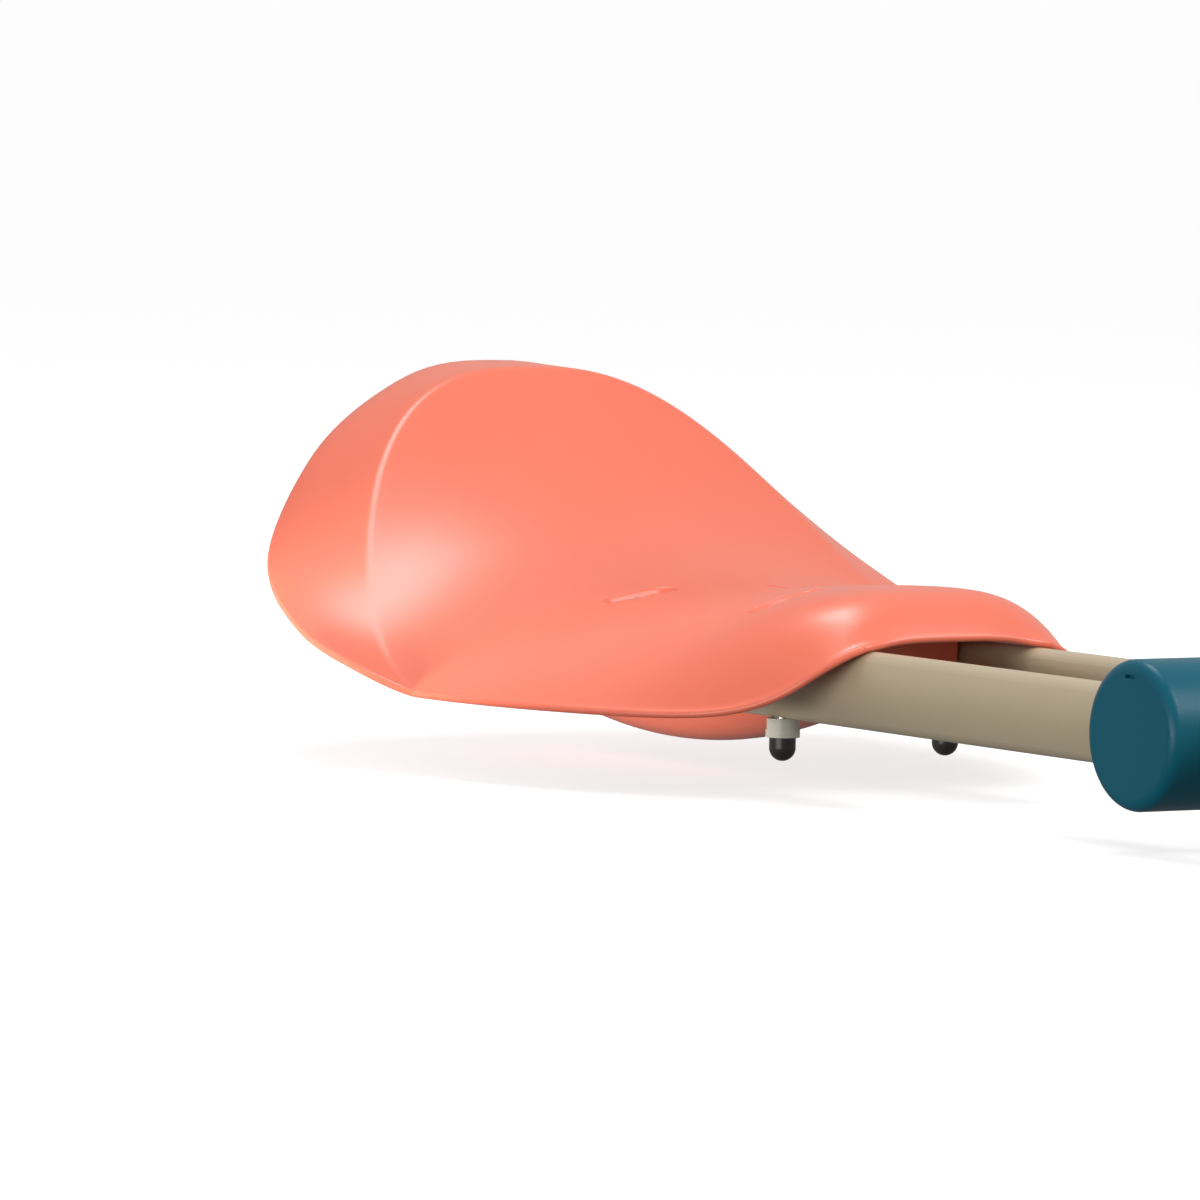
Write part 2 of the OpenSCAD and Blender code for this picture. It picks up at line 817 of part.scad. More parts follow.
// Length of leg tube left in the rail when it is pulled right out
leg_overlap = 58;
leg_x0 = rail_end_x + leg_travel + leg_overlap;
grip_t = 3;
cross_x = foot_x + leg_w / 2 + grip_t;

// Clamp collar around the rail's end, with an ear for the lever
collar_len = 34;
collar_t = 4;
ear_y = rail_y + tube_w / 2 + collar_t + 5;
lever_pin_d = 5;
ear_x = rail_end_x + 6;
module clamp_collar() {
    difference() {
        union() {
            bar_x(rail_end_x - 16, rail_end_x - 16 + collar_len, rail_y, tube_w + 2 * collar_t, tube_h + 2 * collar_t);
            for (s = [-1, 1]) {
                translate([ear_x - 7, rail_y + 10, tube_z - 3 + s * 9]) cube([14, ear_y - rail_y - 4, 6]);
            }
        }
        bar_x(rail_end_x, rail_end_x + 40, rail_y, tube_w, tube_h);
        bar_x(rail_end_x - 40, rail_end_x + 1, rail_y, leg_w + 0.4, leg_h + 0.4);
        translate([ear_x, ear_y, 0]) cylinder(d = lever_pin_d, h = 100);
    }
}

module clamp_collar_right() {
    color(dark) clamp_collar();
}

module clamp_collar_left() {
    color(dark) mirror([0, 1, 0]) clamp_collar();
}

module clamp_pin() {
    translate([ear_x, ear_y, tube_z - 12]) cylinder(d = lever_pin_d, h = 24);
}

module clamp_pin_right() {
    color(metal) clamp_pin();
}

module clamp_pin_left() {
    color(metal) mirror([0, 1, 0]) clamp_pin();
}

// Cam lever that lies along the rail and swings outward
lever_len = 62;
lever_t = 7;
lever_h = 11;
module clamp_lever() {
    translate([ear_x, ear_y, tube_z - lever_h / 2]) difference() {
        union() {
            cylinder(r = 4.5, h = lever_h);
            translate([0, -2.5, 0]) cube([lever_len - 4, lever_t, lever_h]);
            translate([lever_len - 4, 1, 0]) cylinder(r = lever_t / 2, h = lever_h);
        }
        translate([0, 0, -1]) cylinder(r = lever_pin_d / 2 + 0.06, h = lever_h + 2);
    }
}

module clamp_lever_right() {
    color(teal) clamp_lever();
}

module clamp_lever_left() {
    color(teal) mirror([0, 1, 0]) clamp_lever();
}

// Leg tube: a straight stretch in the rail, a corner and half of the foot bar
bar_end_y = 34;
module leg_path(w, h) {
    bar_x(cross_x + corner_r, leg_x0, rail_y, w, h);
    translate([cross_x + corner_r, rail_y - corner_r, tube_z])
        rotate([0, 0, 90])
            rotate_extrude(angle = 90, $fn = 128) translate([corner_r, 0]) oval(w, h);
    translate([cross_x, bar_end_y, tube_z])
        rotate([90, 0, 180]) linear_extrude(rail_y - corner_r - bar_end_y) oval(w, h);
}

module leg_tube() {
    difference() {
        leg_path(leg_w, leg_h);
        bar_x(cross_x + corner_r + 20, leg_x0 + 1, rail_y, leg_w - 4, leg_h - 4);
        translate([cross_x, bar_end_y - 1, tube_z])
            rotate([90, 0, 180]) linear_extrude(40) oval(leg_w - 4, leg_h - 4);
        bolt_holes(leg_bolts);
    }
}

module leg_tube_right() {
    color(metal) leg_tube();
}

module leg_tube_left() {
    color(metal) mirror([0, 1, 0]) leg_tube();
}

module leg_panel_right() {
    color(coral) straight_panel(leg_panel_x0, leg_panel_x1, leg_w, leg_h, leg_bolts);
}

module leg_panel_left() {
    color(coral) mirror([0, 1, 0]) straight_panel(leg_panel_x0, leg_panel_x1, leg_w, leg_h, leg_bolts);
}

module leg_bolts_right() {
    color(metal) bolts_at(leg_bolts, leg_h, 0);
}

module leg_bolts_left() {
    color(metal) mirror([0, 1, 0]) bolts_at(leg_bolts, leg_h, 0);
}

module leg_cap_nuts_right() {
    color(dark) nuts_at(leg_bolts, leg_h, 0);
}

module leg_cap_nuts_left() {
    color(dark) mirror([0, 1, 0]) nuts_at(leg_bolts, leg_h, 0);
}

module leg_feet_right() {
    color(dark) foot_at(-740, rail_y, leg_h);
}

module leg_feet_left() {
    color(dark) mirror([0, 1, 0]) foot_at(-740, rail_y, leg_h);
}

// Hand grips on the foot bar
grip_y0 = 44;
grip_y1 = 134;
module foot_grip() {
    translate([cross_x, grip_y0, tube_z]) rotate([90, 0, 180]) difference() {
        linear_extrude(grip_y1 - grip_y0) oval(leg_w + 2 * grip_t, leg_h + 2 * grip_t);
        translate([0, 0, -1]) linear_extrude(grip_y1 - grip_y0 + 2) oval(leg_w, leg_h);
    }
}

module foot_grip_right() {
    color(dark) foot_grip();
}

module foot_grip_left() {
    color(dark) mirror([0, 1, 0]) foot_grip();
}

// Foot coupling: a fork on the right-hand half takes the left-hand half's tongue
block_w = 20;
block_h = 32;
jaw_gap = 11;
tongue_t = 10;
fork_y0 = -14;
latch_y = -2;
latch_d = 8;

module coupling_plug() {
    translate([cross_x, bar_end_y, tube_z]) rotate([90, 0, 180]) linear_extrude(30) oval(leg_w - 4, leg_h - 4);
}

module coupling_fork() {
    color(dark) union() {
        difference() {
            translate([cross_x - block_w / 2 + 1, fork_y0, tube_z - block_h / 2])
                cube([block_w, bar_end_y - fork_y0, block_h]);
            translate([cross_x - block_w, fork_y0 - 1, tube_z - jaw_gap / 2])
                cube([2 * block_w, 15 - fork_y0 + 1, jaw_gap]);
            translate([cross_x + 1, latch_y, 0]) cylinder(d = latch_d + 0.1, h = 100);
        }
        coupling_plug();
    }
}

module coupling_tongue() {
    color(metal) difference() {
        union() {
            translate([cross_x - block_w / 2 + 1, -bar_end_y, tube_z - block_h / 2])
                cube([block_w, bar_end_y + fork_y0 - 1, block_h]);
            translate([cross_x - block_w / 2 + 1, fork_y0 - 2, tube_z - tongue_t / 2])
                cube([block_w, 14 - fork_y0, tongue_t]);
            mirror([0, 1, 0]) coupling_plug();
        }
        translate([cross_x + 1, latch_y, 0]) cylinder(d = latch_d + 0.6, h = 100);
    }
}

// Latch pin, parked up; it drops through the jaws and the tongue
module latch_pin() {
    color(metal) translate([cross_x + 1, latch_y, tube_z + jaw_gap / 2 + 0.5]) cylinder(d = latch_d, h = 34);
}

module latch_knob() {
    color(teal) translate([cross_x + 1, latch_y, tube_z + jaw_gap / 2 + 0.5 + 24]) difference() {
        rotate_extrude() union() {
            square([9, 8]);
            translate([7, 8]) circle(r = 4);
            square([7, 12]);
        }
        translate([0, 0, -1]) cylinder(d = latch_d, h = 11);
    }
}

head_scoop();
scoop_keel();
scoop_spacers();
scoop_screws();
scoop_sleeves();
scoop_cap_nuts();
scoop_inserts();
head_tube_right();
head_tube_left();
head_tube_plugs();
hub_shell_right();
hub_shell_left();
hub_core();
hub_grub_screws();
stub_tube_right();
stub_tube_left();
pivot_clevises();
pivot_pins();
rail_right();
rail_left();
pivot_eye_right();
pivot_eye_left();
pivot_bush_right();
pivot_bush_left();
shoulder_panel_right();
shoulder_panel_left();
back_panel_right();
back_panel_left();
seat_panel_right();
seat_panel_left();
panel_bolts_right();
panel_bolts_left();
panel_sleeves_right();
panel_sleeves_left();
panel_cap_nuts_right();
panel_cap_nuts_left();
rail_feet_right();
rail_feet_left();
clamp_collar_right();
clamp_collar_left();
clamp_lever_right();
clamp_lever_left();
clamp_pin_right();
clamp_pin_left();
leg_tube_right();
leg_tube_left();
leg_panel_right();
leg_panel_left();
leg_bolts_right();
leg_bolts_left();
leg_cap_nuts_right();
leg_cap_nuts_left();
leg_feet_right();
leg_feet_left();
foot_grip_right();
foot_grip_left();
coupling_fork();
coupling_tongue();
latch_pin();
latch_knob();
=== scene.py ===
import json
import math

import bmesh
import bpy
import numpy as np
from mathutils import Matrix, Vector


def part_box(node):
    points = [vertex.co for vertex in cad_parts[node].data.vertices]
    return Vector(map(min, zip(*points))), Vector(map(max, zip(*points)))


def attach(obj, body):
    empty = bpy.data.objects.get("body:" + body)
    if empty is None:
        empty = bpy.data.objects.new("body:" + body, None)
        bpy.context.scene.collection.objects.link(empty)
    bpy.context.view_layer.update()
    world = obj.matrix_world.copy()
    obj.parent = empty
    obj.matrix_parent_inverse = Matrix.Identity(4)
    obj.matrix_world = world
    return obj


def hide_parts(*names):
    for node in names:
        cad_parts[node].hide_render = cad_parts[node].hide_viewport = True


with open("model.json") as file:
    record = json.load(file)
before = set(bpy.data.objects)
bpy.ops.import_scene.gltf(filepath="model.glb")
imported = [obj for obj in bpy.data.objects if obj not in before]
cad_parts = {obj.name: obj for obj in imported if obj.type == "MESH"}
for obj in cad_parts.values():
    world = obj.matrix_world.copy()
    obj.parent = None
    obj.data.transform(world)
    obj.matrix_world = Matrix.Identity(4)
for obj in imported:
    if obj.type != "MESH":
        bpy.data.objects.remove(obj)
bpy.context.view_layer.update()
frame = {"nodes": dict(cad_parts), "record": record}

MM = 0.001
scene = bpy.context.scene
nodes = frame["nodes"]


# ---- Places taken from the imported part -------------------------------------
tube_lo, tube_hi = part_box("head_tube_right")
scoop_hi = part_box("head_scoop")[1]
TIP_TO_BOLTS = 0.334
BOLT_X = scoop_hi.x - TIP_TO_BOLTS
TUBE_LOW = tube_lo.z
TWIN_Y = (tube_lo.y + tube_hi.y) / 2


# ---- Materials ---------------------------------------------------------------
class Nodes:
    """Builds one node material with short calls."""

    def __init__(self, name):
        self.mat = bpy.data.materials.new(name)
        self.mat.use_nodes = True
        self.tree = self.mat.node_tree
        self.bsdf = self.tree.nodes["Principled BSDF"]
        self.coords = self.add("ShaderNodeTexCoord").outputs["Object"]

    def add(self, kind, **settings):
        node = self.tree.nodes.new(kind)
        for key, value in settings.items():
            setattr(node, key, value)
        return node

    def link(self, a, b):
        self.tree.links.new(a, b)

    def noise(self, scale, detail=4.0, rough=0.55, stretch=None, distortion=0.0):
        node = self.add("ShaderNodeTexNoise")
        node.inputs["Scale"].default_value = scale
        node.inputs["Detail"].default_value = detail
        node.inputs["Roughness"].default_value = rough
        node.inputs["Distortion"].default_value = distortion
        source = self.coords
        if stretch:
            mapping = self.add("ShaderNodeMapping")
            mapping.inputs["Scale"].default_value = stretch
            self.link(source, mapping.inputs["Vector"])
            source = mapping.outputs["Vector"]
        self.link(source, node.inputs["Vector"])
        return node.outputs["Fac"]

    def range(self, fac, lo, hi, low=0.0, high=1.0):
        node = self.add("ShaderNodeMapRange")
        for key, value in (("From Min", lo), ("From Max", hi), ("To Min", low), ("To Max", high)):
            node.inputs[key].default_value = value
        self.link(fac, node.inputs["Value"])
        return node.outputs["Result"]

    def mix(self, fac, a, b, blend="MIX"):
        node = self.add("ShaderNodeMix", data_type="RGBA", blend_type=blend)
        for socket, value in ((node.inputs[0], fac), (node.inputs[6], a), (node.inputs[7], b)):
            if isinstance(value, (int, float)):
                socket.default_value = value
            elif isinstance(value, tuple):
                socket.default_value = (*value, 1)
            else:
                self.link(value, socket)
        return node.outputs[2]

    def math(self, op, a, b):
        node = self.add("ShaderNodeMath", operation=op)
        for socket, value in zip(node.inputs, (a, b)):
            if isinstance(value, (int, float)):
                socket.default_value = value
            else:
                self.link(value, socket)
        return node.outputs[0]

    def bump(self, layers):
        """layers: (height output, strength, distance in metres)"""
        normal = None
        for height, strength, distance in layers:
            node = self.add("ShaderNodeBump")
            node.inputs["Strength"].default_value = strength
            node.inputs["Distance"].default_value = distance
            self.link(height, node.inputs["Height"])
            if normal is not None:
                self.link(normal, node.inputs["Normal"])
            normal = node.outputs["Normal"]
        self.link(normal, self.bsdf.inputs["Normal"])

    def set(self, **values):
        for key, value in values.items():
            socket = self.bsdf.inputs[key.replace("_", " ")]
            if isinstance(value, (int, float)):
                socket.default_value = value
            elif isinstance(value, tuple):
                socket.default_value = (*value, 1) if len(value) == 3 else value
            else:
                self.link(value, socket)


def moulded(name, base, dark, rough, grain=900, scuff=0.5, scuffed=None):
    """Satin moulded plastic: fine grain, broad tone drift, a few scuffs."""
    m = Nodes(name)
    drift = m.range(m.noise(5.0, 3, 0.5), 0.35, 0.65)
    tone = m.mix(drift, dark, base)
    marks = m.range(m.noise(60, 6, 0.7, stretch=(1, 5, 5), distortion=0.6), 0.66, 0.74)
    tone = m.mix(m.math("MULTIPLY", marks, scuff * 0.18), tone, scuffed or base)
    m.set(Base_Color=tone)
    fine = m.noise(grain, 3, 0.6)
    spread = m.range(fine, 0.3, 0.7, rough - 0.04, rough + 0.04)
    m.set(Roughness=m.math("ADD", spread, m.math("MULTIPLY", marks, 0.1)))
    m.bump([(fine, 0.12, 0.0003), (m.noise(22, 3, 0.5), 0.05, 0.002)])
    return m


coral = moulded("coral_shell", (0.81, 0.178, 0.106), (0.77, 0.164, 0.095), 0.33, scuffed=(0.88, 0.29, 0.21))
coral.set(Subsurface_Weight=0.15, Specular_IOR_Level=0.5)
coral.bsdf.inputs["Subsurface Radius"].default_value = (0.006, 0.002, 0.001)
teal = moulded("teal_shell", (0.002, 0.096, 0.145), (0.0015, 0.083, 0.127), 0.36, scuffed=(0.03, 0.17, 0.23))
teal.set(Specular_IOR_Level=0.2)
sleeve_grey = moulded("grey_sleeve", (0.60, 0.575, 0.48), (0.50, 0.48, 0.40), 0.42, grain=1400)
black_cap = moulded("black_cap", (0.030, 0.025, 0.021), (0.018, 0.015, 0.013), 0.30, grain=1400,
                    scuffed=(0.09, 0.08, 0.07))
rubber = moulded("black_rubber", (0.030, 0.030, 0.031), (0.018, 0.018, 0.019), 0.72, grain=1600,
                 scuffed=(0.12, 0.12, 0.115))


def coated_tube():
    """Satin beige powder coat with a faint orange peel, handling marks along the tube and drawn streaks."""
    m = Nodes("beige_tube")
    streak = m.range(m.noise(30, 5, 0.6, stretch=(0.06, 1, 1)), 0.3, 0.7)
    tone = m.mix(streak, (0.44, 0.360, 0.235), (0.50, 0.412, 0.278))
    dirt = m.range(m.noise(9, 5, 0.65), 0.52, 0.75)
    tone = m.mix(m.math("MULTIPLY", dirt, 0.14), tone, (0.31, 0.25, 0.16))
    chips = m.range(m.noise(170, 4, 0.6), 0.76, 0.79)
    tone = m.mix(m.math("MULTIPLY", chips, 0.35), tone, (0.58, 0.54, 0.46))
    m.set(Base_Color=tone, Specular_IOR_Level=0.5, Coat_Weight=0.12, Coat_Roughness=0.25)
    m.set(Roughness=m.range(m.noise(40, 4, 0.6, stretch=(0.1, 1, 1)), 0.3, 0.7, 0.30, 0.42))
    m.bump([(m.noise(700, 2, 0.5), 0.06, 0.0003)])
    return m


def metal(name, base, dark, rough, brushed):
    """Bare metal with fine drawn lines, stretched by brushed, and faint stains."""
    m = Nodes(name)
    lines = m.noise(420, 3, 0.6, stretch=brushed)
    tone = m.mix(m.range(lines, 0.35, 0.65), dark, base)
    stain = m.range(m.noise(26, 5, 0.65), 0.55, 0.78)
    tone = m.mix(m.math("MULTIPLY", stain, 0.25), tone, tuple(c * 0.55 for c in base))
    m.set(Base_Color=tone, Metallic=1.0)
    m.set(Roughness=m.range(lines, 0.3, 0.7, rough - 0.05, rough + 0.08))
    m.bump([(lines, 0.08, 0.0002)])
    return m


beige = coated_tube()
aluminium = metal("bare_aluminium", (0.72, 0.73, 0.74), (0.60, 0.61, 0.63), 0.32, (0.05, 1, 1))
steel = metal("steel", (0.62, 0.62, 0.63), (0.50, 0.50, 0.52), 0.24, (1, 1, 0.1))
bronze = metal("bronze", (0.60, 0.42, 0.20), (0.42, 0.28, 0.12), 0.38, (1, 1, 1))

SLOTS = {
    "coral_shell": coral.mat, "teal_shell": teal.mat, "grey_sleeve": sleeve_grey.mat, "black_cap": black_cap.mat,
    "black_rubber": rubber.mat, "beige_tube": beige.mat, "bare_aluminium": aluminium.mat, "steel": steel.mat,
    "bronze": bronze.mat,
}
slot_of = {row["node"]: row["material_slot"] for row in frame["record"]["subparts"]}
for name, obj in nodes.items():
    material = SLOTS[slot_of[name]]
    if not obj.material_slots:
        obj.data.materials.append(material)
    for holder in obj.material_slots:
        holder.material = material


# ---- Mesh help ---------------------------------------------------------------
def new_mesh(name, verts, faces, slot, body, replaces):
    mesh = bpy.data.meshes.new(name)
    mesh.from_pydata([tuple(v) for v in verts], [], faces)
    mesh.validate()
    mesh.update()
    obj = bpy.data.objects.new(name, mesh)
    scene.collection.objects.link(obj)
    mesh.materials.append(SLOTS[slot])
    mesh.polygons.foreach_set("use_smooth", [True] * len(mesh.polygons))
    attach(obj, body)
    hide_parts(*replaces)
    return obj


# ---- Head scoop ----------------------------------------------------------------
# The scoop's own frame, in mm: X from the first bolt row, Y to the right, Z from the tubes' underside.
LIP_X, CORNER_X, CREASE_X = -71.0, 129.0, 294.0
HALF_W, LIP_HALF_W = 158.0, 57.0
EDGE_H, RISE = 6.0, 144.0
SHEET_T = 3.6
RIM_R, RIM_STEPS, RIM_FULLNESS = 1.8, 5, 0.95
# Exponents: the outline along X and across Y past the corner, the sides before it, and the climb to the tip
TIP_POWER_X, TIP_POWER_Y, SIDE_POWER, CLIMB_POWER = 1.3, 0.73, 0.7, 2.2
# The lip's corners are rounded in plan by LIP_ROUND over the first LIP_ROUND_RUN, and its edge lifts by LIP_LIFT
LIP_ROUND, LIP_ROUND_RUN, LIP_ROUND_POWER = 8, 11, 2.5
LIP_LIFT, LIP_LIFT_POWER = 32, 12
# The pan's middle line: neck, saddle, climb
NECK_X, SADDLE_X = -30, 110
NECK_H, SADDLE_H = 60, 51
NECK_DROP = 19
# Section across the pan: squarer at the neck, where the exponent is NECK_SECTION, and rounder behind it
NECK_SECTION, SECTION_FALL, SECTION_X, SECTION_RUN = 3.3, 1.3, -40, 60
# Reach and fall of the flange at every KNOT_STEP degrees from the corner to the tip
KNOT_STEP = 15
FLANGE_TURN = 1.3
SPINE_RUN = 105
FLANGE_REACH = (2, 20, 37, 48, 41, 36, 40)
FLANGE_FALL = (0.5, -3, 5, 13, 7, 4, -1.6)


def crease_point(a):
    """The pan's outline past the corner, a from 0 at the corner to 90 at the tip."""
    s, c = np.sin(np.radians(a)), np.maximum(np.cos(np.radians(a)), 0)
    return CORNER_X + (CREASE_X - CORNER_X) * s ** TIP_POWER_X, HALF_W * c ** TIP_POWER_Y


def side_half_width(x):
    """Half width of the pan between the lip and the corner."""
    t = np.clip((x - LIP_X) / (CORNER_X - LIP_X), 0, 1)
    corner = np.clip(1 - (x - LIP_X) / LIP_ROUND_RUN, 0, 1)
    widening = (HALF_W - LIP_HALF_W) * np.sin(np.radians(90 * t)) ** SIDE_POWER
    return LIP_HALF_W + widening - LIP_ROUND * corner ** LIP_ROUND_POWER


ARC = np.linspace(0, 90, 721)
ARC_X, ARC_Y = crease_point(ARC)
ARC_Z = EDGE_H + (RISE - EDGE_H) * np.sin(np.radians(ARC)) ** CLIMB_POWER


def outline_at(x):
    """Half width and edge height of the pan at x."""
    end = x > CORNER_X
    width = np.where(end, np.interp(x, ARC_X, ARC_Y), side_half_width(x))
    t = np.clip((x - LIP_X) / (CORNER_X - LIP_X), 0, 1)
    height = np.where(end, np.interp(x, ARC_X, ARC_Z), EDGE_H + LIP_LIFT * (1 - t) ** LIP_LIFT_POWER)
    return width, height


def middle_height(x):
    """Height of the pan's middle line at x."""
    x = np.asarray(x, float)
    t = np.clip((x - NECK_X) / (SADDLE_X - NECK_X), 0, 1)
    saddle = NECK_H + (SADDLE_H - NECK_H) * t * t * (3 - 2 * t)
    neck = NECK_H - NECK_DROP * np.clip((NECK_X - x) / (NECK_X - LIP_X), 0, 2) ** 3
    climb = np.clip((x - SADDLE_X) / (CREASE_X - SADDLE_X), 0, 1) ** CLIMB_POWER
    rise = SADDLE_H + (RISE - SADDLE_H) * climb
    return np.where(x < NECK_X, neck, np.where(x < SADDLE_X, saddle, rise))


def pan_height(x, y):
    """Height of the pan's top surface, without its slots."""
    width, edge = outline_at(x)
    middle = middle_height(x)
    v = np.clip(np.abs(y) / np.maximum(width, 1e-3), 0, 1.02)
    t = np.clip((np.asarray(x, float) - SECTION_X) / SECTION_RUN, 0, 1)
    power = NECK_SECTION - SECTION_FALL * t * t * (3 - 2 * t)
    return middle + (edge - middle) * v ** power


def eased(values, t):
    """Smooth curve through values at t = 0, 1, 2..., level at both ends."""
    last = len(values) - 1
    k = min(int(t), last - 1)
    f = t - k
    a, b = values[k], values[k + 1]
    leave = 0 if k == 0 else (b - values[k - 1]) / 2
    arrive = (values[k + 2 if k + 2 <= last else 2 * last - k - 2] - a) / 2
    return (a * (1 + 2 * f) * (1 - f) ** 2 + leave * f * (1 - f) ** 2
            + b * f * f * (3 - 2 * f) + arrive * f * f * (f - 1))


# Each row of screw slots: x, slot length, pan height there, floor slope, height of the screw's flat seat
SLOT_ROWS = ((0.0, 36.0, 53.6, 0.268, 49.1), (121.0, 36.0, 47.7, 0.158, 43.5))
SLOT_W, SLOT_D = 13.0, 3.6
SLOT_EDGE, SLOT_SOFT = 0.8, 1.7  # how far a slot's wall starts outside its outline, and the width it falls over
SEAT_R, SEAT_SOFT = 7.3, 0.8
PAD_T, PAD_X, PAD_Y = 4.5, 22, 24


def slotted(x, y, z):
    """Heights z with the moulded screw slots sunk into them; the slots run across the pan."""
    z = z.copy()
    for row, length, height, slope, seat in SLOT_ROWS:
        off = np.abs(y) - TWIN_Y / MM
        floor_z = height - SLOT_D - slope * off
        along = np.maximum(np.abs(off) - (length - SLOT_W) / 2, 0)
        away = np.hypot(x - row, along) - SLOT_W / 2
        bore = np.clip((SEAT_R - np.hypot(x - row, off)) / SEAT_SOFT, 0, 1)
        floor_z = floor_z + (np.minimum(floor_z, seat) - floor_z) * bore
        wall = np.clip((SLOT_EDGE - away) / SLOT_SOFT, 0, 1)
        z -= np.maximum(z - floor_z, 0) * wall * wall * (3 - 2 * wall)
    return z


def pad(x, y):
    """Extra thickness under the slots."""
    extra = np.zeros(np.broadcast(x, y).shape)
    for row in SLOT_ROWS:
        off = np.abs(y) - TWIN_Y / MM
        extra = np.maximum(extra, PAD_T * np.exp(-((x - row[0]) / PAD_X) ** 2 - (off / PAD_Y) ** 2))
    return extra


def spaced(*runs):
    """Stations from (start, end, step) runs joined end to end."""
    out = []
    for start, end, step in runs:
        count = max(1, round((end - start) / step))
        out += list(start + (end - start) * np.arange(count) / count)
    return np.array(out + [runs[-1][1]])


def scoop_sheet():
    """The top surface of the right half, with and without its slots: two arrays [ray, column, xyz].
    Each ray runs from the spine to the rim."""
    side_x = spaced((-71, -60, 1.4), (-60, -9, 3), (-9, 9, 0.75), (9, 112, 5), (112, 129, 0.75))
    end_a = np.linspace(0, 90, 58)[1:]
    inner = spaced((0, 22, 4.4), (22, 66, 1.1))
    outer = np.array([0.1, 0.22, 0.35, 0.48, 0.61, 0.73, 0.83, 0.91])
    crease_r, fillet = 2.6, np.linspace(0, 1, 6)
    flange_s = np.array([0.25, 0.5, 0.75, 1.0])
    rays = []

    def flange_end(x, y, z, direction, reach, drop, s):
        """The point a share s of the way out along the flange."""
        return np.array([x + reach * s * math.cos(direction), y + reach * s * math.sin(direction), z - drop * s])

    for x in side_x:
        width, edge = (float(q) for q in outline_at(np.array(x)))
        rays.append((np.array([x, 0.0]), np.array([x, width]), edge, math.radians(90),
                     FLANGE_REACH[0], FLANGE_FALL[0]))
    for a in end_a:
        x, y = (float(q) for q in crease_point(a))
        r = math.radians(a)
        edge = EDGE_H + (RISE - EDGE_H) * math.sin(r) ** CLIMB_POWER
        reach, drop = eased(FLANGE_REACH, a / KNOT_STEP), eased(FLANGE_FALL, a / KNOT_STEP)
        direction = math.radians(90 - 90 * (a / 90) ** FLANGE_TURN)
        spine = CORNER_X + SPINE_RUN * math.sin(r) ** TIP_POWER_X
        rays.append((np.array([spine, 0.0]), np.array([x, max(y, 0.0)]), edge, direction, reach, drop))

    slotted_rays, plain_rays = [], []
    for spine, crease, edge, direction, reach, drop in rays:
        length = np.linalg.norm(crease - spine)
        scale = min(1.0, length / 100)
        near = inner * scale if crease[0] <= CORNER_X else inner / HALF_W * length
        start = near[-1]
        stop = length - crease_r
        dist = np.concatenate([near, start + (stop - start) * outer])
        ray = [spine + (crease - spine) * d / length for d in dist]
        points = [np.array([p[0], p[1], 0.0]) for p in ray]
        for p in points:
            p[2] = float(pan_height(p[0], p[1]))
        inside = spine + (crease - spine) * stop / length
        a = np.array([inside[0], inside[1], float(pan_height(inside[0], inside[1]))])
        b = np.array([crease[0], crease[1], edge])
        tuck = min(crease_r, 0.6 * reach) / reach
        c = flange_end(*b, direction, reach, drop, tuck)
        points += [(1 - t) ** 2 * a + 2 * t * (1 - t) * b + t * t * c for t in fillet]
        last = 1 - RIM_R / max(reach, RIM_R + 0.5)
        points += [flange_end(*b, direction, reach, drop, tuck + (last - tuck) * s) if last > tuck else
                   flange_end(*b, direction, reach, drop, tuck + 0.02 * s) for s in flange_s]
        plain = np.array(points)
        cut = plain.copy()
        cut[:, 2] = slotted(cut[:, 0], cut[:, 1], cut[:, 2])
        slotted_rays.append(cut)
        plain_rays.append(plain)
    return np.array(slotted_rays), np.array(plain_rays)


def grid_normals(p):
    """Vertex normals of a grid [ray, column, xyz], pointing up."""
    du = np.gradient(p, axis=0)
    dv = np.gradient(p, axis=1)
    n = np.cross(du, dv)
    n /= np.maximum(np.linalg.norm(n, axis=2, keepdims=True), 1e-9)
    return n * np.where(n[:, :, 2:3] < 0, -1, 1)


